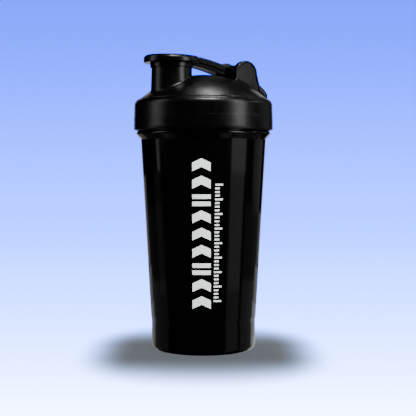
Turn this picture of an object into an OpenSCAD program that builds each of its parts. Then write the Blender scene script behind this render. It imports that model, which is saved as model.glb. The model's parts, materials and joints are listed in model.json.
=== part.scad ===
// Protein shaker bottle: screw-lid cup with a flip cap, carry loop and wire whisk ball.
// Frame: origin at the centre of the foot on the table, +Z up, spout towards -X, hinge at +X.

/* [Cup] */
// Diameter of the straight foot band
foot_d = 75; // [73:0.1:76]
// Height of the straight foot band
foot_band_h = 21; // [16:0.5:26]
// Diameter of the cup just under its bead
cup_top_d = 90.4; // [89:0.1:90.4]
// Height at which the tapered wall ends and the bead begins
cup_wall_h = 150.9; // [140:0.1:151]
// Wall thickness of the cup
cup_wall = 1.7; // [1.2:0.1:2]
// Diameter over the bead below the lid
bead_d = 97.2; // [95:0.1:98]
// Outside diameter of the threaded neck
neck_d = 90.4; // [90:0.1:90.6]
// Height of the cup's rim above the table
rim_z = 176; // [175.5:0.1:176]
// Height of the recess inside the foot ring
foot_recess = 2; // [1:0.1:3]

/* [Thread] */
// Rise of the lid for one full turn
thread_lead = 8; // [7:0.5:9]
// Height of both thread ridges off their walls
thread_depth = 1.8; // [1.4:0.1:1.9]
// Turns of each thread ridge
thread_turns = 1.25; // [0.75:0.25:1.25]

/* [Lid] */
// Diameter of the lid over its collar
lid_d = 100.2; // [99.8:0.1:101]
// Height of the collar's lower edge above the table
collar_z = 157.4; // [157.2:0.1:158]
// Height of the step that divides the collar into two bands
collar_step_z = 167; // [163:0.5:170]
// Height at which the dome meets the rounded shoulder
ring_z = 179.6; // [179.4:0.1:179.8]
// Radius of the rounded shoulder
shoulder_r = 5.4; // [5.2:0.1:5.6]
// Diameter at which the dome meets the groove round it
dome_d = 92; // [91.6:0.1:92.2]
// Rise of the dome over the shoulder
dome_rise = 17.6; // [17.2:0.1:17.6]
// Wall thickness of the dome
dome_wall = 2; // [1.6:0.1:2.2]

/* [Spout] */
// Distance of the spout's axis in front of the bottle's axis
spout_x = 26.7; // [26:0.1:27]
// Outside diameter of the spout at its rim
spout_d = 28.3; // [28:0.1:28.6]
// Bore of the spout
spout_bore_d = 24.6; // [24:0.1:25]
// Height of the spout's rim above the table
spout_z = 204; // [203:0.1:204.2]

/* [Hinge] */
// Distance of the hinge axis behind the bottle's axis
hinge_x = 27.8; // [27.6:0.1:28]
// Height of the hinge axis above the table
hinge_z = 198.5; // [198.4:0.1:198.8]
// Diameter of the hinge pin
pin_d = 4; // [3:0.1:4.4]
// Diameter of the flip cap's hinge barrel
barrel_d = 14.6; // [14:0.1:15.8]
// Radius of the rounded top of each ear
ear_r = 9.5; // [9:0.1:9.6]
// Half the gap between the two ears
ear_in = 10; // [10:0.1:10.4]
// Thickness of each ear
ear_t = 5; // [4.6:0.1:5.4]

/* [Flip cap] */
// Diameter of the cap over the spout
cap_d = 39.6; // [38:0.1:40]
// Height of the cap's flat underside above the table
cap_z = 204.5; // [204.4:0.1:204.8]
// Height of the cap's highest point above the table
cap_top_z = 211; // [210.8:0.1:211.3]
// Radius of the domed top along the cap and its arm
crown_long_r = 137; // [134:1:142]
// Radius of the domed top across the cap and its arm
crown_cross_r = 85; // [78:1:95]
// Half width of the arm beside the cap
arm_half_w = 9; // [8:0.1:10]
// Thickness of the arm's top plate
arm_plate_t = 4.2; // [3.6:0.1:4.6]
// Depth of the arm with its stiffening web
arm_depth = 6.8; // [6:0.1:7.4]

/* [Carry loop] */
// Thickness of the loop's strap
loop_t = 3; // [2.6:0.1:3.2]
// Width of each side of the strap
loop_w = 2.3; // [2:0.1:2.3]

/* [Whisk ball] */
// Diameter over the wire ball
ball_d = 54; // [50:0.5:56]
// Diameter of the ball's wire
wire_d = 2.2; // [1.8:0.1:2.6]
// Turns of wire from pole to pole
ball_turns = 9; // [7:1:10]

/* [Hidden] */
eps = 0.01;
round_fn = 96;
arc_steps = 6;
// Running clearance of a bore round its pin, and of moving faces beside each other
pin_gap = 0.05;
side_gap = 0.3;

// Cup
foot_r = foot_d / 2;
foot_corner_r = 4;
foot_ring_in = 30;
foot_ring_out = 33;
foot_step = 0.5;
foot_step_h = 3;
cup_top_r = cup_top_d / 2;
neck_r = neck_d / 2;
neck_in_r = neck_r - 2;
bead_r = bead_d / 2;
bead_tip_z = cup_wall_h + 4.5;
bead_top_z = cup_wall_h + 6.1;
bead_tip_r = 0.8;
floor_t = 2;
floor_z = foot_recess + floor_t;
floor_corner_r = 4;
rim_round = 0.5;

// Thread
thread_steps = 40;
thread_root_w = 3;
thread_crest_w = 1.6;
thread_bury = 0.5;
thread_fade = 5;
cup_thread_z = 161.5;
lid_thread_z = cup_thread_z + thread_lead / 2;
collar_in_r = neck_r + thread_depth + 0.9;
cup_crest_r = neck_r + thread_depth;
lid_crest_r = neck_r + 0.4;

// Lid
lid_r = lid_d / 2;
collar_bevel = 0.6;
collar_step = 0.15;
collar_taper = 0.25;
shoulder_lift = 0.8;
shoulder_turn = 62;
groove_w = 0.7;
groove_depth = 0.7;
ceiling_z = rim_z + 1.4;
lip_out_r = neck_in_r - 0.8;
lip_in_r = lip_out_r - 1.2;
lip_z = rim_z - 1.5;
dome_r = dome_d / 2;
dome_sphere_r = (dome_r * dome_r + dome_rise * dome_rise) / (2 * dome_rise);
dome_centre_z = ring_z + dome_rise - dome_sphere_r;
dome_steps = 12;
gasket_in_r = lip_out_r + side_gap;
gasket_out_r = collar_in_r - 0.9;
gasket_gap = 0.05;

// Spout
spout_r = spout_d / 2;
spout_bore_r = spout_bore_d / 2;
spout_draft = 0.75;
spout_foot_z = ring_z + 2;

// Hinge
pin_r = pin_d / 2;
pin_head_r = pin_r + 1.2;
pin_head_t = 1.5;
pin_blind = 1.7;
barrel_r = barrel_d / 2;
relief_gap = 0.4;
ear_rim_w = 1.1;
ear_face_depth = 0.35;
ear_out = ear_in + ear_t;
ear_rear_x = 42;
ear_foot_z = 182;
barrel_half = ear_in - side_gap - loop_w - side_gap + 0.1;

// Flip cap
cap_r = cap_d / 2;
cap_edge_r = 2.2;
cap_edge_z = cap_z + 3;
crown_x = -27.7;
crown_steps = 10;
skirt_gap = 0.35;
skirt_t = 0.6;
skirt_h = 3.3;
skirt_in_r = spout_r + 0.1 + skirt_gap;
plug_boss_r = 8;
plug_boss_h = 5;
plug_top_r = spout_bore_r - 0.3;
plug_foot_r = plug_top_r - 0.8;
plug_h = 7;
arm_neck_half = barrel_half;
arm_neck_x = 18;
arm_start_x = -spout_x;
web_half = 6.6;
web_start_x = -12;
web_dome_gap = 0.8;

// Carry loop
loop_eye_r = 5.6;
loop_out = ear_in - side_gap;
loop_in = loop_out - loop_w;
loop_end_x = 51.4;
loop_bend_x = 47.3;
loop_bend_z = 187.8;
loop_knee_z = 184;
loop_foot_z = ring_z + 2.1;
loop_corner_r = 2.4;

// Whisk ball
ball_path_r = ball_d / 2 - wire_d / 2;
ball_z = floor_z + ball_d / 2 + 0.1;
ball_steps = 24;
wire_sides = 8;
pole_angle = 14;

// Points of an arc about (cx, cz) from angle a0 to a1
function arc(cx, cz, r, a0, a1, steps = arc_steps) =
    [for (i = [0:steps]) let(a = a0 + (a1 - a0) * i / steps) [cx + r * cos(a), cz + r * sin(a)]];

// Half angle at which a circle of radius r, centred on the axis, reaches the distance x from it
function reach_angle(x, r) = asin(x / r);

// Radius of the spherical dome's outline, as points from the top ring to the axis
function dome_points(r, x) =
    arc(0, dome_centre_z, r, 90 - reach_angle(x, r), 90, dome_steps);

// Faces that join rings of n points into a closed tube, with flat ends
function tube_faces(rings, n) = concat(
    [[for (k = [0:n - 1]) k]],
    [for (i = [0:rings - 2], k = [0:n - 1])
        [i * n + k, (i + 1) * n + k, (i + 1) * n + (k + 1) % n, i * n + (k + 1) % n]],
    [[for (k = [n - 1:-1:0]) (rings - 1) * n + k]]);

// Ridge of a screw thread that climbs from the height z0; out is 1 outside a neck, -1 inside a collar
module thread_ridge(wall_r, crest_r, z0, out) {
    rings = floor(thread_turns * thread_steps);
    points = [for (i = [0:rings])
        let(a = 360 * i / thread_steps,
            z = z0 + thread_lead * i / thread_steps,
            fade = min(1, (i + 0.3) / thread_fade, (rings - i + 0.3) / thread_fade),
            root = wall_r - out * thread_bury,
            crest = wall_r + (crest_r - wall_r) * fade)
        for (p = [[root, -thread_root_w], [crest, -thread_crest_w],
                  [crest, thread_crest_w], [root, thread_root_w]])
            [p[0] * cos(a), p[0] * sin(a), z + p[1] / 2]];
    mirrored = out > 0 ? [3, 2, 1, 0] : [0, 1, 2, 3];
    ordered = [for (i = [0:rings], k = mirrored) points[i * 4 + k]];
    polyhedron(ordered, tube_faces(rings + 1, 4), convexity = 8);
}

// Flat shape in the X-Z plane, extruded along Y between y0 and y1
module slab(y0, y1) {
    translate([0, y1, 0])
        rotate([90, 0, 0])
            linear_extrude(y1 - y0)
                children();
}

// Cylinder across the bottle about the hinge axis, between y0 and y1
module hinge_rod(r, y0, y1) {
    translate([hinge_x, y1, hinge_z])
        rotate([90, 0, 0])
            cylinder(r = r, h = y1 - y0, $fn = round_fn);
}

// Outside of the cup, with the recess under its foot
module cup_outside() {
    rotate_extrude($fn = round_fn)
        polygon(concat(
            [[0, foot_recess], [foot_ring_in - foot_recess, foot_recess],
             [foot_ring_in, 0], [foot_ring_out, 0]],
            arc(foot_r - foot_corner_r, foot_corner_r, foot_corner_r, -90, 0),
            [[foot_r, foot_band_h], [foot_r + foot_step, foot_band_h + foot_step_h],
             [cup_top_r, cup_wall_h], [bead_r - 0.8, cup_wall_h + 3.2]],
            arc(bead_r - bead_tip_r, bead_tip_z, bead_tip_r, -35, 60, 4),
            [[bead_r - 1.4, bead_top_z - 0.1], [neck_r, bead_top_z], [neck_r, rim_z - rim_round],
             [neck_r - rim_round, rim_z], [0, rim_z]]));
}

// Space inside the cup
module cup_inside() {
    wall_foot_r = foot_r - cup_wall;
    rotate_extrude($fn = round_fn)
        polygon(concat(
            [[0, floor_z]],
            arc(wall_foot_r - floor_corner_r, floor_z + floor_corner_r, floor_corner_r, -90, 0),
            [[foot_r + foot_step - cup_wall, foot_band_h + foot_step_h], [neck_in_r, cup_wall_h],
             [neck_in_r, rim_z - rim_round], [neck_in_r + rim_round, rim_z + eps], [0, rim_z + eps]]));
}

module cup() {
    color("#101112")
        union() {
            difference() {
                cup_outside();
                cup_inside();
            }
            thread_ridge(neck_r, cup_crest_r, cup_thread_z, 1);
        }
}

// Outside of the lid: collar, shoulder, top ring and dome
module lid_outside() {
    shoulder_x = lid_r - collar_step - collar_taper;
    rotate_extrude($fn = round_fn)
        polygon(concat(
            [[0, collar_z], [lid_r - collar_bevel, collar_z], [lid_r, collar_z + collar_bevel],
             [lid_r - 0.1, collar_step_z], [lid_r - collar_step, collar_step_z + 0.3]],
            arc(shoulder_x - shoulder_r, ring_z + shoulder_lift - shoulder_r, shoulder_r, 0, shoulder_turn),
            [[dome_r + groove_w, ring_z - groove_depth], [dome_r + 0.1, ring_z - groove_depth]],
            dome_points(dome_sphere_r, dome_r)));
}

// Space inside the lid, with the lip that holds the gasket left standing
module lid_inside() {
    inner_r = dome_sphere_r - dome_wall;
    rotate_extrude($fn = round_fn)
        polygon(concat(
            [[0, collar_z - 1], [collar_in_r, collar_z - 1], [collar_in_r, ceiling_z],
             [lip_out_r, ceiling_z], [lip_out_r, lip_z], [lip_in_r, lip_z]],
            dome_points(inner_r, lip_in_r)));
}

// Outline of an ear in the X-Z plane, drawn in by inset
module ear_outline(inset) {
    r = ear_r - inset;
    translate([hinge_x, hinge_z])
        circle(r, $fn = round_fn);
    polygon([[hinge_x - r, hinge_z], [hinge_x + r, hinge_z], [ear_rear_x - inset, ear_foot_z],
             [ear_rear_x - inset, ear_foot_z - 4], [hinge_x - r, ear_foot_z - 4]]);
}

// Ears of the hinge, each a slab whose outer face is sunk inside a raised rim
module ears() {
    for (side = [0, 1])
        mirror([0, side, 0])
            difference() {
                slab(-ear_out, -ear_in) ear_outline(0);
                difference() {
                    slab(-ear_out - 1, -ear_out + ear_face_depth) ear_outline(ear_rim_w);
                    translate([0, 0, dome_centre_z])
                        sphere(dome_sphere_r + ear_rim_w, $fn = round_fn);
                }
            }
}

// Drafted tube that rises from the dome
module spout_outside() {
    translate([-spout_x, 0, spout_foot_z])
        cylinder(r1 = spout_r + spout_draft, r2 = spout_r, h = spout_z - spout_foot_z, $fn = round_fn);
}

module lid() {
    color("#17181a")
        union() {
            difference() {
                union() {
                    lid_outside();
                    spout_outside();
                    ears();
                }
                lid_inside();
                translate([-spout_x, 0, ring_z - 10])
                    cylinder(r = spout_bore_r, h = spout_z, $fn = round_fn);
                hinge_rod(barrel_r + relief_gap, -ear_in, ear_in);
                hinge_rod(pin_r, -ear_out + pin_blind, ear_out + 1);
                hinge_rod(pin_head_r, ear_out - pin_head_t, ear_out + 1);
            }
            thread_ridge(collar_in_r, lid_crest_r, lid_thread_z, -1);
        }
}

module lid_gasket() {
    color("#2b2c2e")
        translate([0, 0, rim_z + gasket_gap])
            difference() {
                cylinder(r = gasket_out_r, h = ceiling_z - rim_z - 2 * gasket_gap, $fn = round_fn);
                translate([0, 0, -1])
                    cylinder(r = gasket_in_r, h = ceiling_z - rim_z + 2, $fn = round_fn);
            }
}

// Solid under the cap's domed top, sunk by depth: an arc across the bottle, turned about a cross axis
module crown(depth) {
    half = cap_r + 1;
    a = asin(half / crown_cross_r);
    translate([crown_x, 0, cap_top_z - crown_long_r])
        rotate([90, 0, 0])
            rotate_extrude($fn = 2 * round_fn)
                polygon(concat(
                    [[0, -half]],
                    arc(crown_long_r - crown_cross_r - depth, 0, crown_cross_r, -a, a, crown_steps),
                    [[0, half]]));
}

// Round cap over the spout, with its skirt outside the spout and the boss that holds the stopper
module cap_disc() {
    translate([-spout_x, 0, 0])
        rotate_extrude($fn = round_fn)
            polygon(concat(
                [[0, cap_z - plug_boss_h], [plug_boss_r, cap_z - plug_boss_h], [plug_boss_r, cap_z],
                 [skirt_in_r, cap_z], [skirt_in_r, cap_z - skirt_h], [skirt_in_r + skirt_t, cap_z - skirt_h],
                 [skirt_in_r + skirt_t, cap_z], [cap_r - 0.8, cap_z], [cap_r, cap_z + 0.8]],
                arc(cap_r - cap_edge_r, cap_edge_z, cap_edge_r, 0, 60, 4),
                [[cap_r - cap_edge_r - 1.6, cap_top_z - 0.7], [0, cap_top_z + 1]]));
}

// Plan of the arm's top plate, which narrows towards the barrel
module arm_plan() {
    polygon([[arm_start_x, arm_half_w], [arm_neck_x - 4, arm_half_w], [arm_neck_x, arm_neck_half],
             [hinge_x - 2, arm_neck_half], [hinge_x - 2, -arm_neck_half], [arm_neck_x, -arm_neck_half],
             [arm_neck_x - 4, -arm_half_w], [arm_start_x, -arm_half_w]]);
}

// Curved layer of the arm, from depth d0 to d1 under its domed top, cut to a plan
module arm_layer(d0, d1) {
    intersection() {
        difference() {
            crown(d0);
            crown(d1);
        }
        translate([0, 0, cap_z - 30])
            linear_extrude(50) children();
    }
}

// Arm that joins the cap to its hinge barrel: a plate with a narrower web under it
module cap_arm() {
    arm_layer(0, arm_plate_t) arm_plan();
    difference() {
        arm_layer(arm_plate_t - 0.5, arm_depth)
            translate([web_start_x, -web_half])
                square([hinge_x - 2 - web_start_x, 2 * web_half]);
        slab(-web_half - 1, web_half + 1)
            translate([0, dome_centre_z])
                circle(dome_sphere_r + web_dome_gap, $fn = 2 * round_fn);
    }
}

module flip_cap() {
    color("#17181a")
        difference() {
            union() {
                intersection() {
                    cap_disc();
                    crown(0);
                }
                cap_arm();
                hinge_rod(barrel_r, -barrel_half, barrel_half);
            }
            hinge_rod(pin_r + pin_gap, -barrel_half - 1, barrel_half + 1);
        }
}

module spout_stopper() {
    color("#2b2c2e")
        translate([-spout_x, 0, cap_z - plug_h])
            difference() {
                cylinder(r1 = plug_foot_r, r2 = plug_top_r, h = plug_h, $fn = round_fn);
                translate([0, 0, plug_h - plug_boss_h - 0.1])
                    cylinder(r = plug_boss_r + pin_gap, h = plug_boss_h + 1, $fn = round_fn);
            }
}

module hinge_pin() {
    color("#2b2c2e")
        union() {
            hinge_rod(pin_r, -ear_out + pin_blind, ear_out - pin_head_t + eps);
            hinge_rod(pin_head_r, ear_out - pin_head_t, ear_out);
        }
}

// Side view of the loop's strap, folded down behind the ears
module strap_outline() {
    inner_x = loop_end_x - loop_t;
    polygon([[hinge_x, hinge_z + loop_eye_r - 0.5], [loop_bend_x, loop_bend_z],
             [loop_end_x - 1.8, loop_knee_z + 1.9], [loop_end_x - 0.6, loop_knee_z],
             [loop_end_x, loop_foot_z + 0.8], [loop_end_x, loop_foot_z], [inner_x, loop_foot_z],
             [inner_x, loop_foot_z + 0.8],
             [inner_x - 0.6, loop_knee_z - 1], [inner_x - 2, loop_knee_z + 1.2],
             [loop_bend_x - 4, loop_bend_z - 0.7], [hinge_x + 1, hinge_z - loop_eye_r + 1.5]]);
}

// Plan of the loop: a tongue with two rounded corners, hollowed out between its two sides
module loop_plan(half_w, x1, r) {
    polygon(concat(
        [[hinge_x - 10, -half_w]],
        arc(x1 - r, -half_w + r, r, -90, 0),
        arc(x1 - r, half_w - r, r, 0, 90),
        [[hinge_x - 10, half_w]]));
}

module carry_loop() {
    color("#17181a")
        difference() {
            union() {
                hinge_rod(loop_eye_r, -loop_out, loop_out);
                intersection() {
                    slab(-loop_out, loop_out) strap_outline();
                    translate([0, 0, ring_z - 5])
                        linear_extrude(40) loop_plan(loop_out, loop_end_x, loop_corner_r);
                }
            }
            translate([0, 0, ring_z - 6])
                linear_extrude(42) loop_plan(loop_in, loop_end_x - loop_t, loop_corner_r - loop_w);
            hinge_rod(pin_r + pin_gap, -loop_out - 1, loop_out + 1);
        }
}

// Centre line of the ball's wire: latitude climbs while the wire winds round
function ball_point(t) =
    let(lat = -90 + pole_angle + (180 - 2 * pole_angle) * t, a = 360 * ball_turns * t)
    ball_path_r * [cos(lat) * cos(a), cos(lat) * sin(a), sin(lat)];

module whisk_ball() {
    rings = ball_turns * ball_steps;
    points = [for (i = [0:rings])
        let(p = ball_point(i / rings),
            ahead = ball_point((i + 0.5) / rings) - ball_point((i - 0.5) / rings),
            tangent = ahead / norm(ahead),
            out = p / norm(p),
            side_raw = cross(tangent, out),
            side = side_raw / norm(side_raw),
            up = cross(side, tangent))
        for (k = [0:wire_sides - 1])
            let(b = 360 * k / wire_sides)
            p + wire_d / 2 * (cos(b) * side - sin(b) * up)];
    color("#c4c7ca")
        translate([0, 0, ball_z])
            polyhedron(points, tube_faces(rings + 1, wire_sides), convexity = 12);
}

cup();
lid();
lid_gasket();
flip_cap();
spout_stopper();
hinge_pin();
carry_loop();
whisk_ball();
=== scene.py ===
"""Looks of a protein shaker bottle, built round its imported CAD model.

Shapes are worked out in millimetres in the CAD model's own frame (+Z up, spout towards -X,
hinge at +X) and turned into metres when a mesh is made.
"""
import json
import math

import bpy
import numpy as np
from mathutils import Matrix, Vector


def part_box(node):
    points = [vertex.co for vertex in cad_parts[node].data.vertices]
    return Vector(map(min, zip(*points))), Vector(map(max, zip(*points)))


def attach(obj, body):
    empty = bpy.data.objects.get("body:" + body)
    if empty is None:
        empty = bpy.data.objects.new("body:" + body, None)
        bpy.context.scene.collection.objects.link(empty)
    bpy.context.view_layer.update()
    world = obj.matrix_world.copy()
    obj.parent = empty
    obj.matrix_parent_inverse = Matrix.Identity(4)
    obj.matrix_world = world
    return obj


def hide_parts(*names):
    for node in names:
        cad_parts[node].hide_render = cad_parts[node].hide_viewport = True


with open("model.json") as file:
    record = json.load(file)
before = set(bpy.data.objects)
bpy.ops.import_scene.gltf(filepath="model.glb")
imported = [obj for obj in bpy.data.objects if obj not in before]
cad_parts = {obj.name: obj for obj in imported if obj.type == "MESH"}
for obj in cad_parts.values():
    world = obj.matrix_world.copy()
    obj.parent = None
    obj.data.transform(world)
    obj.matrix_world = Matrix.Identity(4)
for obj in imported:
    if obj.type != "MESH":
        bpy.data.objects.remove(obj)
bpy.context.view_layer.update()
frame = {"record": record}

import openvdb

MM = 0.001


# ---------------------------------------------------------------- sizes, from the frame
def node_box(node):
    """Lowest and highest corner of a CAD node, in millimetres."""
    low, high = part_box(node)
    return np.array(low) / MM, np.array(high) / MM


def joint(name):
    """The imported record's joint of that name."""
    return next(j for j in frame["record"]["behaviour"]["joints"] if j["name"] == name)


_, cup_high = node_box("cup")
lid_low, lid_high = node_box("lid")
cap_low, cap_high = node_box("flip_cap")
plug_low, plug_high = node_box("spout_stopper")
pin_low, pin_high = node_box("hinge_pin")
loop_low, loop_high = node_box("carry_loop")
seal_low, seal_high = node_box("lid_gasket")
ball_low, ball_high = node_box("whisk_ball")
hinge_x, _, hinge_z = (value / MM for value in joint("cap_flip")["pos_m"])

# the side that the camera looks at, in degrees: 0 is the -Y side and 90 the +X side
VIEW_AZIMUTH = -33.0

# cup
RIM_Z = cup_high[2]
BEAD_R = cup_high[0]
FOOT_R = 37.5
FOOT_BAND_Z = 21.0
FOOT_STEP_R = FOOT_R + 0.5
CUP_TOP_R = 45.2
CUP_WALL_Z = RIM_Z - 25.1
CUP_WALL = 1.7
NECK_R = 45.2
NECK_IN_R = 43.2
CUP_FLOOR_Z = 4.0
FOOT_RECESS = 2.0
FOOT_RECESS_R = 30.3
BEAD_H = 6.1

# lid: collar, shoulder, gasket lip and dome
LID_R = min(-lid_low[0], lid_high[0]) - 0.01
COLLAR_Z = lid_low[2]
COLLAR_IN_R = NECK_R + 2.7
COLLAR_STEP_Z = COLLAR_Z + 9.6
RING_Z = RIM_Z + 3.6
SHOULDER_R = 5.4
SHOULDER_LIFT = 0.8
SHOULDER_TURN = 62.0
GROOVE_W = 0.75
GROOVE_DEPTH = 0.7
CEILING_Z = RIM_Z + 1.4
LIP_OUT_R = NECK_IN_R - 0.8
LIP_IN_R = LIP_OUT_R - 1.2
LIP_Z = RIM_Z - 1.5
DOME_R = 46.0
DOME_RISE = 17.7
DOME_FOOT_IN = 0.6
DOME_WALL = 2.0
DOME_SPHERE_R = (DOME_R ** 2 + DOME_RISE ** 2) / (2 * DOME_RISE)
DOME_CENTRE_Z = RING_Z + DOME_RISE - DOME_SPHERE_R

# spout
SPOUT_X = (plug_low[0] + plug_high[0]) / 2
SPOUT_R = 14.15
SPOUT_BORE_R = 12.3
SPOUT_Z = 204.0
SPOUT_DRAFT = 0.0325
SPOUT_FILLET = 1.5

# hinge: ears, barrel, pin, and the room kept free round the loop's eyes
EAR_R = lid_high[2] - hinge_z
EAR_IN = 10.0
EAR_OUT = 15.0
EAR_RIM_W = 1.4
EAR_FACE_DEPTH = 0.25
EAR_FACE_LEAN = 0.045
EAR_REAR_X = 42.0
EAR_FOOT_Z = 182.0
EAR_FILLET = 2.2
BARREL_R = 7.3
BARREL_HALF = 7.2
EYE_ROOM_R = 8.2
RELIEF_R = BARREL_R + 0.4
PIN_R = 2.0
PIN_HEAD_R = 3.2
PIN_HEAD_T = 1.5
PIN_END_IN = 1.7

# threads
THREAD_LEAD = 8.0
THREAD_TURNS = 1.25
CUP_THREAD_Z = 161.5
LID_THREAD_Z = CUP_THREAD_Z + THREAD_LEAD / 2


# ---------------------------------------------------------------- distance fields
def smooth_min(a, b, k):
    """The lower of two distances, blended over the width k."""
    h = np.maximum(k - np.abs(a - b), 0) / k
    return np.minimum(a, b) - h * h * k / 4


def smooth_max(a, b, k):
    """The higher of two distances, blended over the width k."""
    return -smooth_min(-a, -b, k)


def outline_distance(x, y, corners):
    """Signed distance from the points (x, y) to a closed outline, negative inside it."""
    best = np.full(x.shape, np.float32(1e9))
    inside = np.zeros(x.shape, bool)
    for (ax, ay), (bx, by) in zip(corners[-1:] + corners[:-1], corners):
        ex, ey = bx - ax, by - ay
        wx, wy = x - ax, y - ay
        t = np.clip((wx * ex + wy * ey) / (ex * ex + ey * ey), 0, 1)
        best = np.minimum(best, (wx - ex * t) ** 2 + (wy - ey * t) ** 2)
        if ay != by:
            crossing = ((ay > y) != (by > y)) & (x < ex * wy / ey + ax)
            inside ^= crossing
    return np.where(inside, -1, 1) * np.sqrt(best)


def arc(cx, cy, r, start, end, steps=10):
    """Points of an arc about (cx, cy), with its angles in degrees."""
    angles = np.radians(np.linspace(start, end, steps + 1))
    return [(cx + r * math.cos(a), cy + r * math.sin(a)) for a in angles]


def rounded(corners, steps=6):
    """An outline through (x, y, radius) corners, each turned into an arc of its radius."""
    out = []
    for i, (x, y, radius) in enumerate(corners):
        here = np.array([x, y])
        before = np.array(corners[i - 1][:2]) - here
        after = np.array(corners[(i + 1) % len(corners)][:2]) - here
        if radius <= 0:
            out.append((x, y))
            continue
        u, v = before / np.linalg.norm(before), after / np.linalg.norm(after)
        half = math.acos(np.clip(u @ v, -1, 1)) / 2
        reach = min(radius / math.tan(half), 0.49 * min(np.linalg.norm(before), np.linalg.norm(after)))
        radius = reach * math.tan(half)
        middle = here + (u + v) / np.linalg.norm(u + v) * radius / math.sin(half)
        a0, a1 = here + u * reach - middle, here + v * reach - middle
        start = math.atan2(a0[1], a0[0])
        turn = (math.atan2(a1[1], a1[0]) - start + math.pi) % (2 * math.pi) - math.pi
        for s in range(steps + 1):
            a = start + turn * s / steps
            out.append((middle[0] + radius * math.cos(a), middle[1] + radius * math.sin(a)))
    return out


# ---------------------------------------------------------------- meshes
def new_piece(name, points, faces, normals, body, material, replaces=()):
    """A piece from points in millimetres: it rides on a body and stands for the CAD nodes named."""
    mesh = bpy.data.meshes.new(name)
    mesh.from_pydata((np.asarray(points, float) * MM).tolist(), [], [list(map(int, f)) for f in faces])
    mesh.validate()
    mesh.polygons.foreach_set("use_smooth", [True] * len(mesh.polygons))
    if normals is not None:
        mesh.normals_split_custom_set_from_vertices(np.asarray(normals, float).tolist())
    mesh.materials.append(material)
    mesh.update()
    piece = bpy.data.objects.new(name, mesh)
    bpy.context.scene.collection.objects.link(piece)
    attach(piece, body)
    if replaces:
        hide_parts(*replaces)
    return piece


def lathe(outline, segments=192, centre=(0, 0)):
    """Points, faces and normals of an outline of (r, z) turned about a vertical axis.

    The outline is a closed loop; where both of its ends lie on the axis, they close there."""
    r, z = np.array(outline).T
    count = len(r)
    ends_on_axis = r[0] < 1e-6 and r[-1] < 1e-6
    pairs = range(count - 1) if ends_on_axis else range(count)
    slope = np.zeros((count, 2))
    for i in pairs:
        j = (i + 1) % count
        side = np.array([z[j] - z[i], r[i] - r[j]])
        slope[i] += side
        slope[j] += side
    slope /= np.maximum(np.linalg.norm(slope, axis=1), 1e-9)[:, None]
    angles = np.arange(segments) * 2 * math.pi / segments
    points, normals, first = [], [], []
    for i in range(count):
        first.append(len(points))
        if ends_on_axis and i in (0, count - 1):
            points.append((centre[0], centre[1], z[i]))
            normals.append((0, 0, -1 if i == 0 else 1) if z[0] < z[-1] else (0, 0, 1 if i == 0 else -1))
            continue
        for a in angles:
            c, s = math.cos(a), math.sin(a)
            points.append((centre[0] + r[i] * c, centre[1] + r[i] * s, z[i]))
            normals.append((slope[i][0] * c, slope[i][0] * s, slope[i][1]))
    faces = []
    for i in pairs:
        j = (i + 1) % count
        for k in range(segments):
            n = (k + 1) % segments
            if ends_on_axis and i == 0:
                faces.append((first[i], first[j] + n, first[j] + k))
            elif ends_on_axis and j == count - 1:
                faces.append((first[i] + k, first[i] + n, first[j]))
            else:
                faces.append((first[i] + k, first[i] + n, first[j] + n, first[j] + k))
    return np.array(points), faces, np.array(normals)


def field_mesh(distance, low, high, step, steps_in=3):
    """Points, faces and normals of the surface where a distance field is zero, inside a box.

    The field is worked out on a coarse grid first, and on the fine one only near the surface. The
    points are then moved onto the surface along its normals, steps_in times."""
    margin = 2.5 * step
    low, high = np.array(low, float) - margin, np.array(high, float) + margin
    coarse = 4
    band = 4 * step
    count = (np.ceil((high - low) / (step * coarse)).astype(int)) * coarse
    axes = [low[i] + step * np.arange(count[i]) for i in range(3)]
    far = [axis[coarse // 2::coarse] for axis in axes]
    grid = np.stack(np.meshgrid(*far, indexing="ij"), -1).astype(np.float32)
    rough = distance(grid.reshape(-1, 3)).reshape(grid.shape[:3])
    values = rough.repeat(coarse, 0).repeat(coarse, 1).repeat(coarse, 2)
    near = np.argwhere(np.abs(values) < step * coarse * 1.6)
    points = (low + near * step).astype(np.float32)
    values[tuple(near.T)] = distance(points)
    values = np.clip(values, -band, band).astype(np.float32)
    volume = openvdb.FloatGrid(float(band))
    volume.copyFromArray(values)
    points, _, faces = volume.convertToPolygons(0.0, 0.0)
    points = low + np.asarray(points, float) * step
    for _ in range(steps_in):
        d, n = distance(points), field_normals(distance, points)
        points = points - n * np.clip(d, -step, step)[:, None]
    normals = field_normals(distance, points)
    faces = np.asarray(faces)
    a, b, c = (points[faces[:, i]] for i in range(3))
    if np.sum(np.cross(b - a, c - a) * normals[faces[:, 0]]) < 0:
        faces = faces[:, ::-1]
    return points, faces, normals


def field_normals(distance, points, h=0.02):
    """Outward unit normals of a distance field at the points."""
    n = np.stack([distance(points + e) - distance(points - e) for e in np.eye(3) * h], -1)
    return n / np.maximum(np.linalg.norm(n, axis=1), 1e-9)[:, None]


# ---------------------------------------------------------------- materials
def shader(name, **settings):
    """A new material with a Principled shader whose sockets are set by name."""
    material = bpy.data.materials.new(name)
    material.use_nodes = True
    tree = material.node_tree
    bsdf = tree.nodes["Principled BSDF"]
    for socket, value in settings.items():
        bsdf.inputs[socket.replace("_", " ")].default_value = value
    return material, tree, bsdf


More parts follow.
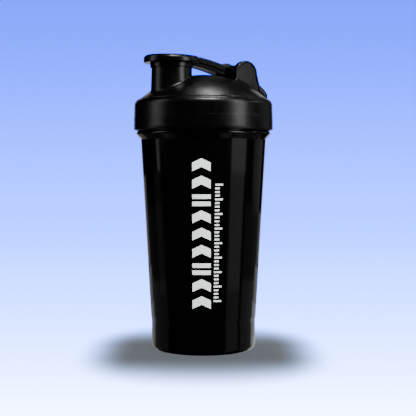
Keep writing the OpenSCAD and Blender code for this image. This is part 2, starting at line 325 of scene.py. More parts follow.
def noise(tree, scale, detail=2.0, rough=0.5, squeeze=(1, 1, 1)):
    """A noise texture in the piece's own coordinates; scale is in cycles a metre."""
    where = tree.nodes.new("ShaderNodeTexCoord")
    mapping = tree.nodes.new("ShaderNodeMapping")
    mapping.inputs["Scale"].default_value = squeeze
    texture = tree.nodes.new("ShaderNodeTexNoise")
    texture.inputs["Scale"].default_value = scale
    texture.inputs["Detail"].default_value = detail
    texture.inputs["Roughness"].default_value = rough
    tree.links.new(where.outputs["Object"], mapping.inputs["Vector"])
    tree.links.new(mapping.outputs["Vector"], texture.inputs["Vector"])
    return texture.outputs["Fac"]


def spread(tree, factor, low, high):
    """Stretches a 0 to 1 factor onto the range from low to high."""
    ranged = tree.nodes.new("ShaderNodeMapRange")
    ranged.inputs["From Min"].default_value = 0.3
    ranged.inputs["From Max"].default_value = 0.7
    ranged.inputs["To Min"].default_value = low
    ranged.inputs["To Max"].default_value = high
    tree.links.new(factor, ranged.inputs["Value"])
    return ranged.outputs["Result"]


def tint(tree, factor, dark, light):
    """Mixes two colours by a factor."""
    ramp = tree.nodes.new("ShaderNodeValToRGB")
    ramp.color_ramp.elements[0].position = 0.35
    ramp.color_ramp.elements[0].color = (*dark, 1)
    ramp.color_ramp.elements[1].position = 0.65
    ramp.color_ramp.elements[1].color = (*light, 1)
    tree.links.new(factor, ramp.inputs["Fac"])
    return ramp.outputs["Color"]


def bump(tree, bsdf, layers):
    """Chains bump nodes onto the shader's normal: each layer is (height, distance in m, strength)."""
    normal = None
    for height, distance, strength in layers:
        node = tree.nodes.new("ShaderNodeBump")
        node.inputs["Distance"].default_value = distance
        node.inputs["Strength"].default_value = strength
        tree.links.new(height, node.inputs["Height"])
        if normal is not None:
            tree.links.new(normal, node.inputs["Normal"])
        normal = node.outputs["Normal"]
    tree.links.new(normal, bsdf.inputs["Normal"])


def cup_plastic():
    """Glossy black injection-moulded plastic, with the faint waviness of a moulded wall."""
    material, tree, bsdf = shader("cup_gloss_black", Specular_IOR_Level=0.5, IOR=1.49)
    tree.links.new(tint(tree, noise(tree, 38), (0.0004, 0.0005, 0.0006), (0.0007, 0.0008, 0.0009)),
                   bsdf.inputs["Base Color"])
    tree.links.new(spread(tree, noise(tree, 90, 4), 0.11, 0.15), bsdf.inputs["Roughness"])
    bump(tree, bsdf, [(noise(tree, 26, 1, squeeze=(1, 1, 0.35)), 0.0006, 0.12),
                      (noise(tree, 2600, 2), 0.00002, 0.10)])
    return material


def lid_plastic(name, low=0.27, high=0.33):
    """Satin black polypropylene with a fine spark-eroded grain."""
    material, tree, bsdf = shader(name, Specular_IOR_Level=0.5, IOR=1.49)
    tree.links.new(tint(tree, noise(tree, 60, 3), (0.0003, 0.0003, 0.0004), (0.0006, 0.0006, 0.0007)),
                   bsdf.inputs["Base Color"])
    tree.links.new(spread(tree, noise(tree, 240, 4), low, high), bsdf.inputs["Roughness"])
    bump(tree, bsdf, [(noise(tree, 3200, 3, 0.6), 0.00006, 0.30),
                      (noise(tree, 45, 2), 0.0004, 0.06)])
    return material


def soft_rubber():
    """Dark grey silicone, matt with a soft sheen."""
    material, tree, bsdf = shader("silicone_dark", Specular_IOR_Level=0.4, Sheen_Weight=0.15)
    tree.links.new(tint(tree, noise(tree, 120, 3), (0.022, 0.023, 0.024), (0.032, 0.033, 0.034)),
                   bsdf.inputs["Base Color"])
    tree.links.new(spread(tree, noise(tree, 400, 4), 0.5, 0.65), bsdf.inputs["Roughness"])
    bump(tree, bsdf, [(noise(tree, 1800, 3), 0.00008, 0.3)])
    return material


def steel_wire():
    """Polished stainless wire with fine drawing lines."""
    material, tree, bsdf = shader("stainless_wire", Metallic=1.0)
    tree.links.new(tint(tree, noise(tree, 200, 3), (0.60, 0.61, 0.63), (0.72, 0.73, 0.74)),
                   bsdf.inputs["Base Color"])
    tree.links.new(spread(tree, noise(tree, 900, 4), 0.12, 0.24), bsdf.inputs["Roughness"])
    bump(tree, bsdf, [(noise(tree, 2500, 2), 0.00003, 0.2)])
    return material


def print_ink():
    """Light grey screen-printing ink, slightly uneven where it dried."""
    material, tree, bsdf = shader("print_light_grey", Specular_IOR_Level=0.35)
    tree.links.new(tint(tree, noise(tree, 700, 4), (0.66, 0.68, 0.69), (0.74, 0.76, 0.77)),
                   bsdf.inputs["Base Color"])
    tree.links.new(spread(tree, noise(tree, 1500, 3), 0.42, 0.55), bsdf.inputs["Roughness"])
    bump(tree, bsdf, [(noise(tree, 4000, 3), 0.00003, 0.25)])
    return material


CUP_GLOSS = cup_plastic()
LID_SATIN = lid_plastic("lid_satin_black")
CAP_SATIN = lid_plastic("cap_satin_black", 0.26, 0.32)
PIN_BLACK = lid_plastic("pin_black", 0.22, 0.30)
SILICONE = soft_rubber()
STEEL = steel_wire()
INK = print_ink()


# ---------------------------------------------------------------- cup
def cup_radius(z):
    """Outside radius of the cup's tapered wall at the height z."""
    low_z = FOOT_BAND_Z + 3
    return FOOT_STEP_R + (CUP_TOP_R - FOOT_STEP_R) * (z - low_z) / (CUP_WALL_Z - low_z)


def make_cup():
    """The cup as a turned profile: recessed foot, foot band, tapered wall, bead and neck."""
    corners = [
        (0, FOOT_RECESS, 0), (FOOT_RECESS_R - 1.8, FOOT_RECESS, 1.2), (FOOT_RECESS_R, 0, 0.8),
        (FOOT_R, 0, 4), (FOOT_R, FOOT_BAND_Z, 14), (FOOT_STEP_R, FOOT_BAND_Z + 3, 14),
        (CUP_TOP_R, CUP_WALL_Z, 0.3), (BEAD_R + 0.3, CUP_WALL_Z + 4.4, 1.6),
        (BEAD_R - 1.3, CUP_WALL_Z + BEAD_H - 0.1, 0.6), (NECK_R, CUP_WALL_Z + BEAD_H, 0.15),
        (NECK_R, RIM_Z, 0.8), (NECK_IN_R, RIM_Z, 0.8), (NECK_IN_R, CUP_WALL_Z, 6),
        (FOOT_STEP_R - CUP_WALL, FOOT_BAND_Z, 4), (FOOT_R - CUP_WALL, CUP_FLOOR_Z, 4), (0, CUP_FLOOR_Z, 0)]
    points, faces, normals = lathe(rounded(corners), 256)
    new_piece("cup_shell", points, faces, normals, "cup", CUP_GLOSS, ["cup"])


def make_thread(name, wall_r, depth, start_z, body, material):
    """Screw ridge on a wall; a positive depth stands out of it and a negative one into the bore."""
    steps, root, crest, run_out = 96, 1.5, 0.8, 10
    rings = int(THREAD_TURNS * steps)
    out = math.copysign(1, depth)
    lower = [(-0.5, -root), (0.15, -root), (0.7, -crest - 0.25), (0.93, -crest + 0.1), (1.0, -crest + 0.35)]
    section = lower + [(s, -u) for s, u in reversed(lower)]
    points = []
    for i in range(rings + 1):
        a = 2 * math.pi * i / steps
        z = start_z + THREAD_LEAD * i / steps
        from_end = min(i, rings - i) + 0.5
        rise = math.sin(min(1, from_end / run_out) * math.pi / 2)
        for s, u in section:
            r = wall_r + (s * depth * rise if s > 0 else s * out)
            points.append((r * math.cos(a), r * math.sin(a), z + u * (0.4 + 0.6 * rise)))
    n = len(section)
    faces = [(i * n + k, i * n + (k + 1) % n, (i + 1) * n + (k + 1) % n, (i + 1) * n + k)
             for i in range(rings) for k in range(n)]
    faces += [tuple(range(n))[::-1], tuple(rings * n + k for k in range(n))]
    if out > 0:
        faces = [f[::-1] for f in faces]
    new_piece(name, points, faces, None, body, material)


make_cup()
make_thread("cup_thread", NECK_R, 1.8, CUP_THREAD_Z, "cup", CUP_GLOSS)


# ---------------------------------------------------------------- print on the cup
PRINT_TURN = VIEW_AZIMUTH - 90
PRINT_PROUD = 0.07
PRINT_SUNK = 0.05

CHEVRON_TURN = PRINT_TURN - 1.8
CHEVRON_COUNT = 9
CHEVRON_LOW_Z = 33.3
CHEVRON_TOP_Z = 137.1
CHEVRON_GAP = 3.2
CHEVRON_PITCH = (CHEVRON_TOP_Z - CHEVRON_LOW_Z + CHEVRON_GAP) / CHEVRON_COUNT
CHEVRON_HALF_W = 6.35
CHEVRON_THICK = 5.9
CHEVRON_LEAN = 0.468
BAR_PLACES = (2, 6)
BAR_THICK = 3.0
BAR_PITCH = 4.9

TICK_TURN = PRINT_TURN + 14.4
TICK_COUNT = 33
TICK_LOW_Z = 38.1
TICK_HIGH_Z = 119.8
TICK_THICK = 1.2
TICK_HALF_W = 1.6
TICK_LONG_HALF_W = 2.7
TICK_SHIFT = 1.5
TICK_LONG_EVERY = 4


def print_strip(centre_deg, low, high, half_w, columns=20):
    """A thin printed shape on the cup: low and high give its lower and upper edge at a distance u."""
    us = np.linspace(-half_w, half_w, columns + 1)
    points = []
    for u in us:
        for edge in (low(u), high(u)):
            for lift in (-PRINT_SUNK, PRINT_PROUD):
                r = cup_radius(edge)
                a = math.radians(centre_deg) + u / r
                points.append(((r + lift) * math.cos(a), (r + lift) * math.sin(a), edge))
    faces = []
    for i in range(columns):
        p, q = 4 * i, 4 * i + 4
        faces += [(p + 1, q + 1, q + 3, p + 3), (p, p + 2, q + 2, q), (p, q, q + 1, p + 1),
                  (p + 2, p + 3, q + 3, q + 2)]
    faces += [(0, 1, 3, 2), (4 * columns, 4 * columns + 2, 4 * columns + 3, 4 * columns + 1)]
    return points, faces


def bar(centre_deg, z, thick, half_w, columns=20):
    """A printed bar with its lower edge at the height z."""
    return print_strip(centre_deg, lambda u: z, lambda u: z + thick, half_w, columns)


def chevron(z):
    """A printed chevron that points up, with its feet at the height z."""
    def low(u):
        """The lower edge at a distance u from the chevron's middle."""
        return z + CHEVRON_LEAN * (CHEVRON_HALF_W - abs(u))

    return print_strip(CHEVRON_TURN, low, lambda u: low(u) + CHEVRON_THICK, CHEVRON_HALF_W)


def join_shapes(shapes):
    """Several (points, faces) as one."""
    points, faces = [], []
    for some, more in shapes:
        base = len(points)
        points += list(some)
        faces += [tuple(base + v for v in f) for f in more]
    return points, faces


def new_print(name, shapes):
    """One flat-shaded piece of ink from several printed shapes."""
    points, faces = join_shapes(shapes)
    piece = new_piece(name, points, faces, None, "cup", INK)
    piece.data.polygons.foreach_set("use_smooth", [False] * len(piece.data.polygons))


def make_print():
    """A generic graphic: a column of chevrons and pairs of bars beside a column of fine ticks."""
    shapes = []
    for i in range(CHEVRON_COUNT):
        z = CHEVRON_LOW_Z + i * CHEVRON_PITCH
        if i in BAR_PLACES:
            shapes += [bar(CHEVRON_TURN, z + shift, BAR_THICK, CHEVRON_HALF_W) for shift in (0, BAR_PITCH)]
        else:
            shapes.append(chevron(z))
    new_print("print_chevrons", shapes)

    shapes = []
    pitch = (TICK_HIGH_Z - TICK_LOW_Z - TICK_THICK) / (TICK_COUNT - 1)
    for i in range(TICK_COUNT):
        long = i % TICK_LONG_EVERY == 0
        turn = TICK_TURN if long else TICK_TURN - TICK_SHIFT
        half_w = TICK_LONG_HALF_W if long else TICK_HALF_W
        shapes.append(bar(turn, TICK_LOW_Z + i * pitch, TICK_THICK, half_w, 8))
    new_print("print_ticks", shapes)


make_print()


# ---------------------------------------------------------------- lid
def sphere_distance(points, radius):
    """Distance to a sphere about the dome's centre."""
    x, y, z = points.T
    return np.sqrt(x * x + y * y + (z - DOME_CENTRE_Z) ** 2) - radius


def ear_outline(inset):
    """Outline of an ear seen from the side, drawn in by an inset."""
    r = EAR_R - inset
    foot = RING_Z - 2.8
    return (arc(hinge_x, hinge_z, r, 0, 180, 20)
            + [(hinge_x - r, foot), (EAR_REAR_X - inset, foot), (EAR_REAR_X - inset, EAR_FOOT_Z)])


SHOULDER_ARC = arc(LID_R - 0.4 - SHOULDER_R, RING_Z + SHOULDER_LIFT - SHOULDER_R, SHOULDER_R,
                   0, SHOULDER_TURN)
COLLAR_OUTLINE = rounded([
    (-10, COLLAR_Z, 0), (LID_R - 0.15, COLLAR_Z, 0.9), (LID_R, COLLAR_Z + 2.2, 1.5),
    (LID_R - 0.1, COLLAR_STEP_Z, 0.6), (LID_R - 0.2, COLLAR_STEP_Z + 0.5, 0.6),
    *((r, z, 0) for r, z in SHOULDER_ARC),
    (DOME_R + GROOVE_W, RING_Z - GROOVE_DEPTH, 0.1), (-10, RING_Z - GROOVE_DEPTH, 0)], 8)
COLLAR_BORE = [
    (-10, COLLAR_Z - 6), (COLLAR_IN_R, COLLAR_Z - 6), (COLLAR_IN_R, CEILING_Z), (LIP_OUT_R, CEILING_Z),
    (LIP_OUT_R, LIP_Z), (LIP_IN_R, LIP_Z), (LIP_IN_R, RING_Z), (-10, RING_Z)]
EAR_FULL = ear_outline(0)
EAR_FACE = ear_outline(EAR_RIM_W)


def spout_distance(across, z):
    """Distance field of the spout's tube, solid; across is the distance from its axis."""
    tube = (across - SPOUT_R - SPOUT_DRAFT * (SPOUT_Z - z)) / math.hypot(1, SPOUT_DRAFT)
    return smooth_max(smooth_max(tube, z - SPOUT_Z, 0.9), RING_Z - z, 0.3)


def ears_distance(points):
    """Distance field of both ears, each with a sunk, leaning face inside a raised rim."""
    x, y, z = points.T
    side = np.abs(y)
    ears = smooth_max(outline_distance(x, z, EAR_FULL), np.maximum(EAR_IN - side, side - EAR_OUT), 1.0)
    above_dome = -sphere_distance(points, DOME_SPHERE_R + EAR_RIM_W)
    face = np.maximum(outline_distance(x, z, EAR_FACE), above_dome)
    sink = EAR_FACE_DEPTH + EAR_FACE_LEAN * np.clip(x - hinge_x + EAR_R, 0, 2.4 * EAR_R)
    face = smooth_max(face, EAR_OUT - sink - side, 0.2)
    return smooth_max(ears, -face, 0.25)


def lid_distance(points):
    """Distance field of the whole lid moulding."""
    x, y, z = points.T
    r = np.hypot(x, y)
    across = np.hypot(x - SPOUT_X, y)
    dome_edge = np.maximum(r - DOME_R + DOME_FOOT_IN, RING_Z - 2 - z)
    dome = smooth_max(sphere_distance(points, DOME_SPHERE_R), dome_edge, 0.2)
    lid = smooth_min(outline_distance(r, z, COLLAR_OUTLINE), dome, 0.15)
    lid = smooth_min(lid, spout_distance(across, z), SPOUT_FILLET)
    lid = smooth_min(lid, ears_distance(points), EAR_FILLET)

    under_dome = np.maximum(sphere_distance(points, DOME_SPHERE_R - DOME_WALL), LIP_Z + 1 - z)
    inside = np.minimum(outline_distance(r, z, COLLAR_BORE), under_dome)
    lid = smooth_max(lid, -inside, 0.5)
    bore = np.maximum(across - SPOUT_BORE_R, RING_Z - 8 - z)
    lid = smooth_max(lid, -bore, 0.9)

    rod = np.hypot(x - hinge_x, z - hinge_z)
    barrel_room = np.maximum(rod - RELIEF_R, np.abs(y) - EAR_IN)
    lid = smooth_max(lid, -barrel_room, 0.3)
    pin_hole = np.maximum(rod - PIN_R, -EAR_OUT + PIN_END_IN - y)
    head_hole = np.maximum(rod - PIN_HEAD_R - 0.05, EAR_OUT - PIN_HEAD_T - y)
    return smooth_max(lid, -np.minimum(pin_hole, head_hole), 0.25)


def make_lid():
    """The lid with its fillets, bores and gasket lip as one closed mesh."""
    points, faces, normals = field_mesh(lid_distance, lid_low, lid_high, 0.5)
    new_piece("lid_shell", points, faces, normals, "lid", LID_SATIN, ["lid"])


make_lid()
make_thread("lid_thread", COLLAR_IN_R, NECK_R + 0.4 - COLLAR_IN_R, LID_THREAD_Z, "lid",
            LID_SATIN)


# ---------------------------------------------------------------- flip cap
CAP_R = 19.8
CAP_Z = plug_high[2]
CAP_TOP_Z = cap_high[2]
CAP_EDGE_K = 2.4
CROWN_X = -27.7
CROWN_LONG_R = 137.0
CROWN_CROSS_R = 85.0
SKIRT_IN_R = SPOUT_R + 0.45
SKIRT_H = 3.3
BOSS_R = 8.0
BOSS_H = 5.0
ARM_HALF_W = 9.0
ARM_PLATE_T = 4.2
ARM_DEPTH = 6.8
ARM_DRAFT = 0.2
ARM_NECK_X = 18.0
WEB_HALF = 6.6
WEB_START_X = -12.0
WEB_DOME_GAP = 0.8

SKIRT_OUTLINE = rounded([
    (SKIRT_IN_R, CAP_Z - SKIRT_H, 0.25), (SKIRT_IN_R + 0.6, CAP_Z - SKIRT_H, 0.3),
    (SKIRT_IN_R + 0.6, CAP_Z + 1, 0), (SKIRT_IN_R, CAP_Z + 1, 0)], 3)
ARM_PLAN = rounded([
    (SPOUT_X, ARM_HALF_W, 0), (ARM_NECK_X - 4, ARM_HALF_W, 3), (ARM_NECK_X, BARREL_HALF, 3),
    (hinge_x, BARREL_HALF, 0), (hinge_x, -BARREL_HALF, 0), (ARM_NECK_X, -BARREL_HALF, 3),
    (ARM_NECK_X - 4, -ARM_HALF_W, 3), (SPOUT_X, -ARM_HALF_W, 0)], 5)


def cap_distance(points):
    """Distance field of the flip cap: disc, skirt, boss, arm with its web, and hinge barrel.

    curve is the distance above the crowned surface that the disc and the arm share. The last cuts
    keep the blends clear of the loop's eyes and open the bore for the pin."""
    x, y, z = points.T
    across = np.hypot(x - SPOUT_X, y)
    centre_r = CROWN_LONG_R - CROWN_CROSS_R
    long_r = np.hypot(x - CROWN_X, z - CAP_TOP_Z + CROWN_LONG_R) - centre_r
    curve = np.hypot(long_r, y) - CROWN_CROSS_R
    disc = smooth_max(smooth_max(across - CAP_R, CAP_Z - z, 0.3), curve, CAP_EDGE_K)
    skirt = outline_distance(across, z, SKIRT_OUTLINE)
    boss = smooth_max(across - BOSS_R, np.maximum(CAP_Z - BOSS_H - z, z - CAP_Z - 1), 0.4)
    plan = outline_distance(x, y, ARM_PLAN)
    plate = smooth_max(smooth_max(curve, plan - ARM_DRAFT * curve, 0.9), -ARM_PLATE_T - curve, 0.5)
    reach = np.maximum(WEB_START_X - x, x - hinge_x + 2)
    web_side = np.abs(y) - WEB_HALF - ARM_DRAFT * (curve + ARM_PLATE_T)
    web = smooth_max(np.maximum(curve + 1, -ARM_DEPTH - curve), np.maximum(web_side, reach), 0.8)
    dome = np.hypot(x, z - DOME_CENTRE_Z) - DOME_SPHERE_R - WEB_DOME_GAP
    web = smooth_max(web, -dome, 0.8)
    rod = np.hypot(x - hinge_x, z - hinge_z)
    barrel = smooth_max(rod - BARREL_R, np.abs(y) - BARREL_HALF, 0.9)
    cap = smooth_min(disc, skirt, 0.3)
    cap = smooth_min(cap, boss, 0.3)
    cap = smooth_min(cap, web, 0.4)
    cap = smooth_min(cap, plate, 0.4)
    cap = smooth_max(cap, curve, 0.5)
    cap = smooth_min(cap, barrel, 1.4)
    beside_eye = np.maximum(rod - EYE_ROOM_R, BARREL_HALF + 0.05 - np.abs(y))
    cap = smooth_max(cap, -beside_eye, 0.2)
    return smooth_max(cap, PIN_R + 0.05 - rod, 0.2)


def make_cap():
    """The flip cap as one closed mesh."""
    points, faces, normals = field_mesh(cap_distance, cap_low, cap_high, 0.45)
    new_piece("flip_cap_shell", points, faces, normals, "cap", CAP_SATIN, ["flip_cap"])


def make_stopper():
    """Soft hollow plug on the cap's boss, with a rounded foot."""
    top, foot = plug_high[2], plug_low[2]
    wide = plug_high[0] - SPOUT_X
    corners = [(0, foot, 0), (wide - 0.8, foot, 1.6), (wide, top, 0.2), (BOSS_R + 0.05, top, 0.2),
               (BOSS_R + 0.05, top - BOSS_H - 0.1, 0.3), (0, top - BOSS_H - 0.1, 0)]
    points, faces, normals = lathe(rounded(corners), 128, (SPOUT_X, 0))
    new_piece("stopper_plug", points, faces, normals, "cap", SILICONE, ["spout_stopper"])


make_cap()
make_stopper()


# ---------------------------------------------------------------- carry loop
LOOP_OUT = loop_high[1]
LOOP_W = 2.3
LOOP_T = 3.0
LOOP_EYE_R = 5.6
LOOP_END_X = loop_high[0]
LOOP_FOOT_Z = loop_low[2]
LOOP_CORNER_R = 2.4
LOOP_IN_X = LOOP_END_X - LOOP_T
STRAP_OUTLINE = rounded([
    (hinge_x, hinge_z + LOOP_EYE_R - 0.5, 0), (47.7, 187.9, 3), (LOOP_END_X - 0.45, 184.1, 2),
    (LOOP_END_X, LOOP_FOOT_Z, 0.8), (LOOP_IN_X, LOOP_FOOT_Z, 0.8), (LOOP_IN_X - 0.7, 183.2, 2),
    (44.6, 186.2, 4), (hinge_x + 1, hinge_z - LOOP_EYE_R + 1.5, 0)], 6)


def tongue(half_w, end_x, r):
    """Outline seen from above of a tongue from the hinge to end_x, with rounded corners."""
    return ([(hinge_x - 10, -half_w)] + arc(end_x - r, -half_w + r, r, -90, 0, 8)
            + arc(end_x - r, half_w - r, r, 0, 90, 8) + [(hinge_x - 10, half_w)])


LOOP_PLAN = tongue(LOOP_OUT, LOOP_END_X, LOOP_CORNER_R)
LOOP_GAP = tongue(LOOP_OUT - LOOP_W, LOOP_END_X - LOOP_T, LOOP_CORNER_R - LOOP_W)


def loop_distance(points):
    """Distance field of the carry loop: two eyes and a strap round the end."""
    x, y, z = points.T
    rod = np.hypot(x - hinge_x, z - hinge_z)
    side = smooth_min(outline_distance(x, z, STRAP_OUTLINE), rod - LOOP_EYE_R, 2.5)
    loop = smooth_max(side, outline_distance(x, y, LOOP_PLAN), 0.7)
    loop = smooth_max(loop, -outline_distance(x, y, LOOP_GAP), 0.7)
    return smooth_max(loop, PIN_R + 0.05 - rod, 0.2)


def make_loop():
    """The carry loop as one closed mesh."""
    points, faces, normals = field_mesh(loop_distance, loop_low, loop_high, 0.36)
    new_piece("carry_loop_strap", points, faces, normals, "loop", CAP_SATIN, ["carry_loop"])


make_loop()


# ---------------------------------------------------------------- pin, gasket, ball
def make_pin():
    """Pin with a flat chamfered head, turned to lie along Y."""
    start, end = pin_low[1], pin_high[1]
    corners = [(0, start, 0), (PIN_R, start, 0.5), (PIN_R, end - PIN_HEAD_T, 0.1),
               (PIN_HEAD_R, end - PIN_HEAD_T, 0.1), (PIN_HEAD_R, end, 0.4), (0, end, 0)]
    points, faces, normals = lathe(rounded(corners), 64)
    turn = np.array([[1, 0, 0], [0, 0, -1], [0, 1, 0]], float)
    points, normals = points @ turn, normals @ turn
    points = points + [hinge_x, 0, hinge_z]
    new_piece("pivot_pin", points, faces, normals, "lid", PIN_BLACK, ["hinge_pin"])


def make_gasket():
    """Flat ring with rounded edges and a shallow groove under it."""
    low, high = seal_low[2], seal_high[2]
    r_in, r_out = LIP_OUT_R + 0.3, seal_high[0]
    mid = (r_in + r_out) / 2
    groove = 0.35
    corners = [
        (r_in, low, 0.4), (mid - 0.8, low, 0.2), (mid - 0.5, low + groove, 0.2),
        (mid + 0.5, low + groove, 0.2), (mid + 0.8, low, 0.2), (r_out, low, 0.4), (r_out, high, 0.4),
        (r_in, high, 0.4)]
    points, faces, normals = lathe(rounded(corners, 4), 192)
    new_piece("gasket_ring", points, faces, normals, "seal", SILICONE, ["lid_gasket"])


def make_ball():
    """One wire wound from pole to pole round a ball, with rounded ends."""
    wire_r, turns, steps, sides, pole = 1.1, 9, 48, 12, math.radians(14)
    end_tapers = (0.35, 0.75, 0.95)
    radius = ball_high[0] - wire_r
    centre = np.array([0, 0, (ball_low[2] + ball_high[2]) / 2])

    def place(t):
        """The wire's middle, seen from the ball's centre, at t from 0 to 1 along it."""
        lat = -math.pi / 2 + pole + (math.pi - 2 * pole) * t
        a = 2 * math.pi * turns * t
        across = math.cos(lat)
        return radius * np.array([across * math.cos(a), across * math.sin(a), math.sin(lat)])

    rings = turns * steps
    points = []
    for i in range(rings + 1):
        p = place(i / rings)
        ahead = place((i + 0.5) / rings) - place((i - 0.5) / rings)
        ahead /= np.linalg.norm(ahead)
        side = np.cross(ahead, p / np.linalg.norm(p))
        side /= np.linalg.norm(side)
        up = np.cross(side, ahead)
        from_end = min(i, rings - i)
        taper = end_tapers[from_end] if from_end < len(end_tapers) else 1.0
        for k in range(sides):
            b = 2 * math.pi * k / sides
            points.append(centre + p + wire_r * taper * (math.cos(b) * side - math.sin(b) * up))
    n = sides
    faces = [(i * n + k, (i + 1) * n + k, (i + 1) * n + (k + 1) % n, i * n + (k + 1) % n)
             for i in range(rings) for k in range(n)]
    faces += [tuple(range(n)), tuple(rings * n + k for k in range(n))[::-1]]
    new_piece("whisk_wire", points, faces, None, "ball", STEEL, ["whisk_ball"])


make_pin()
make_gasket()
make_ball()


# ---------------------------------------------------------------- floor, light and camera
# metres and degrees from here on
CAMERA_DISTANCE = 0.770
CAMERA_HEIGHT = 0.1335
CAMERA_PITCH = 2.38
CAMERA_YAW = -0.248
CAMERA_LENS = 92.1


def toward(azimuth, distance, height):
    """A point round the bottle: azimuth 0 is on the -Y side and 90 on the +X side."""
    a = math.radians(azimuth)
    return (distance * math.sin(a), -distance * math.cos(a), height)


def make_camera():
    """The camera at the photo's view, looking slightly down."""
    data = bpy.data.cameras.new("camera")
    data.lens = CAMERA_LENS
    camera = bpy.data.objects.new("camera", data)
    bpy.context.scene.collection.objects.link(camera)
    camera.location = toward(VIEW_AZIMUTH, CAMERA_DISTANCE, CAMERA_HEIGHT)
    camera.rotation_euler = (math.radians(90 - CAMERA_PITCH), 0, math.radians(VIEW_AZIMUTH + CAMERA_YAW))
    bpy.context.scene.camera = camera


def softbox(name, azimuth, distance, height, size, radiance, aim_z=None):
    """An area light that faces the bottle's axis; azimuth is from the camera's side, to the right.

    It's as bright as its radiance says, whatever its size, and never seen by the camera. It aims at
    its own height unless aim_z says another."""
    data = bpy.data.lights.new(name, "AREA")
    data.shape = "RECTANGLE"
    data.size, data.size_y = size
    data.energy = radiance * math.pi * size[0] * size[1]
    light = bpy.data.objects.new(name, data)
    bpy.context.scene.collection.objects.link(light)
    light.location = toward(VIEW_AZIMUTH + azimuth, distance, height)
    aim = np.array([0, 0, height if aim_z is None else aim_z]) - np.array(light.location)
    flat = math.hypot(aim[0], aim[1])
    light.rotation_euler = (math.pi / 2 + math.atan2(aim[2], flat), 0, math.atan2(-aim[0], aim[1]))
    light.visible_camera = False
    return light


STAGE_HALF = 3.0
STAGE_FRONT = -8.0
STAGE_BACK = 1.6
STAGE_BEND = 0.7
STAGE_TOP = 3.2
# the sweep's colour at distances along it, from in front of the bottle to the top of the backdrop
STAGE_GLOW = [
    (-0.21, (6.3, 8.3, 18.0)), (-0.17, (4.9, 7.3, 16.5)), (-0.10, (2.9, 4.9, 15.5)),
    (-0.01, (1.9, 3.7, 14.5)), (0.11, (1.2, 2.7, 13.5)), (0.27, (0.8, 2.1, 12.0)),
    (0.50, (0.56, 1.7, 10.6)), (0.86, (0.25, 1.2, 10.6)), (1.09, (0.08, 0.8, 10.6)),
    (1.20, (0.005, 0.57, 10.6)), (1.30, (0.002, 0.5, 8.9)), (1.46, (0.001, 0.35, 6.9)),
    (1.60, (0.001, 0.23, 5.5)), (1.74, (0.001, 0.13, 4.5)), (2.20, (0.001, 0.10, 3.6))]
# the painted shadow round the foot, a grey mixed into the sweep's glowing colour: where it is full, where
# it ends, and its tip
PAINTED_SHADOW_COLOUR = (0.125, 0.137, 0.155)
PAINTED_SHADOW_SIDE = (0.050, 0.092, 0.105)
PAINTED_SHADOW_DEPTH = (0.025, 0.140)
PAINTED_SHADOW_CENTRE = -0.016


def fade(value, full, none):
    """1 up to the value full, falling smoothly to 0 at the value none."""
    t = np.clip((none - value) / (none - full), 0, 1)
    return t * t * (3 - 2 * t)


def stage_glow_and_painted_shadow(side, along):
    """Linear colour of the sweep: white in front, bluer up the back, and a painted shadow round the foot.
    """
    reach = [where for where, _ in STAGE_GLOW]
    glow = np.stack([np.interp(along, reach, np.log([c[k] for _, c in STAGE_GLOW])) for k in range(3)], -1)
    full, none, tip = PAINTED_SHADOW_SIDE
    narrowing = np.sqrt(np.clip(1 - (side / tip) ** 2, 0.01, 1))
    # painted shadow: the glow is pulled towards a grey round the foot, where the bottle's shadow would fall
    painted_shadow = fade(np.abs(side), full, none) * fade(np.abs(along - PAINTED_SHADOW_CENTRE) / narrowing, *PAINTED_SHADOW_DEPTH)
    return np.exp(glow * (1 - painted_shadow[:, None]) + np.log(PAINTED_SHADOW_COLOUR) * painted_shadow[:, None])


def stage_material():
    """Pale matt paper that carries its own light, by the colour stored along the sweep, which has the
    painted shadow round the foot in it.
    """
    material, tree, bsdf = shader("sweep_pale", Roughness=0.9, Specular_IOR_Level=0.05)
    bsdf.inputs["Base Color"].default_value = (0.01, 0.01, 0.011, 1)
    bsdf.inputs["Emission Strength"].default_value = 1.0
    glow = tree.nodes.new("ShaderNodeAttribute")
    glow.attribute_name = "glow"
    tree.links.new(glow.outputs["Color"], bsdf.inputs["Emission Color"])
    return material


def graded(low, high, fine_low, fine_high, fine, coarse):
    """Positions from low to high, closely spaced between fine_low and fine_high."""
    return np.concatenate([np.arange(low, fine_low, coarse), np.arange(fine_low, fine_high, fine),
                           np.arange(fine_high, high, coarse), [high]])


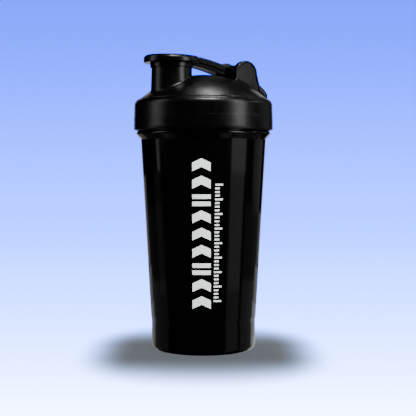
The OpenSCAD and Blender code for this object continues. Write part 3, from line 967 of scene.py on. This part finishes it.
def make_stage():
    """One pale sweep: a floor that curves up into a backdrop well behind the bottle."""
    flat_end = STAGE_BACK - STAGE_BEND
    bend_end = flat_end + STAGE_BEND * math.pi / 2
    alongs = graded(STAGE_FRONT, bend_end + STAGE_TOP - STAGE_BEND, -0.20, 0.20, 0.005, 0.04)
    sides = graded(-STAGE_HALF, STAGE_HALF, -0.12, 0.12, 0.005, 0.24)
    turn = np.clip(alongs - flat_end, 0, bend_end - flat_end) / STAGE_BEND
    depth = np.minimum(alongs, flat_end) + STAGE_BEND * np.sin(turn)
    height = STAGE_BEND * (1 - np.cos(turn)) + np.maximum(alongs - bend_end, 0)
    a = math.radians(VIEW_AZIMUTH)
    away, right = np.array([-math.sin(a), math.cos(a), 0]), np.array([math.cos(a), math.sin(a), 0])
    points = (depth[:, None, None] * away + sides[None, :, None] * right
              + height[:, None, None] * np.array([0, 0, 1])).reshape(-1, 3)
    n = len(sides)
    faces = [(i * n + k, i * n + k + 1, (i + 1) * n + k + 1, (i + 1) * n + k)
             for i in range(len(alongs) - 1) for k in range(n - 1)]
    mesh = bpy.data.meshes.new("sweep")
    mesh.from_pydata(points.tolist(), [], faces)
    mesh.polygons.foreach_set("use_smooth", [True] * len(faces))
    side_grid, along_grid = np.meshgrid(sides, alongs)
    glow = stage_glow_and_painted_shadow(side_grid.ravel(), along_grid.ravel())
    stored = mesh.attributes.new("glow", "FLOAT_COLOR", "POINT")
    stored.data.foreach_set("color", np.concatenate([glow, np.ones((len(glow), 1))], 1).ravel())
    mesh.materials.append(stage_material())
    sweep_object = bpy.data.objects.new("sweep", mesh)
    bpy.context.scene.collection.objects.link(sweep_object)
    sweep_object.visible_glossy = False
    sweep_object.visible_diffuse = False
    # the sweep takes no real shadow; the shadow round the foot is painted into its stored colour
    sweep_object.visible_shadow = False


def make_lights():
    """Soft studio light: tall boxes at the sides, dim panels for the gloss, rims behind, light above."""
    # tall boxes that shape the lid and the cup's upper part
    softbox("key_right", 59, 0.60, 0.45, (0.20, 0.60), 4.6)
    softbox("fill_left", -80, 0.60, 0.43, (0.20, 0.56), 1.5)
    softbox("side_right", 120, 0.60, 0.30, (0.34, 0.50), 0.16)
    softbox("side_right_edge", 98, 0.55, 0.38, (0.10, 0.14), 2.5)
    softbox("side_right_high", 128, 0.50, 0.66, (0.20, 0.22), 0.6)

    # dim panels close to the cup, which its glossy wall mirrors as upright bands
    softbox("cup_right_top", 56, 0.11, 0.138, (0.052, 0.036), 0.60)
    softbox("cup_right_mid", 55, 0.11, 0.075, (0.050, 0.090), 0.32)
    softbox("cup_right_foot", 55, 0.11, -0.015, (0.052, 0.090), 0.19)
    softbox("cup_right_side", 98, 0.12, -0.020, (0.095, 0.110), 0.15)
    softbox("cup_right_side_top", 98, 0.12, 0.065, (0.095, 0.060), 0.06)
    softbox("cup_left_top", -75, 0.11, 0.140, (0.012, 0.035), 0.55)
    softbox("cup_left_mid", -80, 0.11, 0.075, (0.030, 0.095), 0.06)
    softbox("cup_left_side", -96, 0.12, -0.020, (0.110, 0.110), 0.09)
    softbox("cup_left_side_top", -96, 0.12, 0.065, (0.110, 0.060), 0.03)

    # light from behind for the thin glow along both edges, brighter towards the foot
    softbox("rim_right", 166, 0.60, 0.22, (0.22, 0.44), 0.9)
    softbox("rim_left", -166, 0.60, 0.22, (0.22, 0.44), 0.9)
    softbox("rim_right_mid", 148, 0.13, 0.0675, (0.12, 0.045), 0.22)
    softbox("rim_right_step", 145, 0.13, 0.030, (0.12, 0.030), 0.45)
    softbox("rim_right_foot", 142, 0.13, 0.0025, (0.12, 0.025), 0.70)
    softbox("rim_right_low", 142, 0.13, -0.040, (0.12, 0.06), 0.9)
    softbox("rim_left_mid", -150, 0.13, 0.0825, (0.12, 0.075), 0.22)
    softbox("rim_left_step", -147, 0.13, 0.030, (0.12, 0.030), 0.33)
    softbox("rim_left_low", -145, 0.13, -0.0275, (0.12, 0.085), 0.45)

    # light above for the lid's soft patches, and a wide fill that leaves no mirror image
    softbox("overhead", 149, 0.20, 1.05, (0.28, 0.12), 17.0, 0.19)
    softbox("front_top", 14, 0.40, 0.80, (0.26, 0.16), 34.0, 0.18)
    fill = softbox("front_fill", 10, 1.10, 0.55, (0.7, 0.7), 20.0, 0.10)
    fill.visible_glossy = False


def make_world():
    """A very dim room for the bottle, and past the sweep's edges the sweep's own front colour."""
    world = bpy.data.worlds.new("studio")
    world.use_nodes = True
    tree = world.node_tree
    room = tree.nodes["Background"]
    room.inputs["Color"].default_value = (0.9, 0.95, 1.0, 1)
    room.inputs["Strength"].default_value = 0.004
    beyond = tree.nodes.new("ShaderNodeBackground")
    beyond.inputs["Color"].default_value = (*STAGE_GLOW[0][1], 1)
    seen = tree.nodes.new("ShaderNodeLightPath")
    either = tree.nodes.new("ShaderNodeMixShader")
    tree.links.new(seen.outputs["Is Camera Ray"], either.inputs[0])
    tree.links.new(room.outputs[0], either.inputs[1])
    tree.links.new(beyond.outputs[0], either.inputs[2])
    tree.links.new(either.outputs[0], tree.nodes["World Output"].inputs["Surface"])
    bpy.context.scene.world = world


make_camera()
make_stage()
make_lights()
make_world()
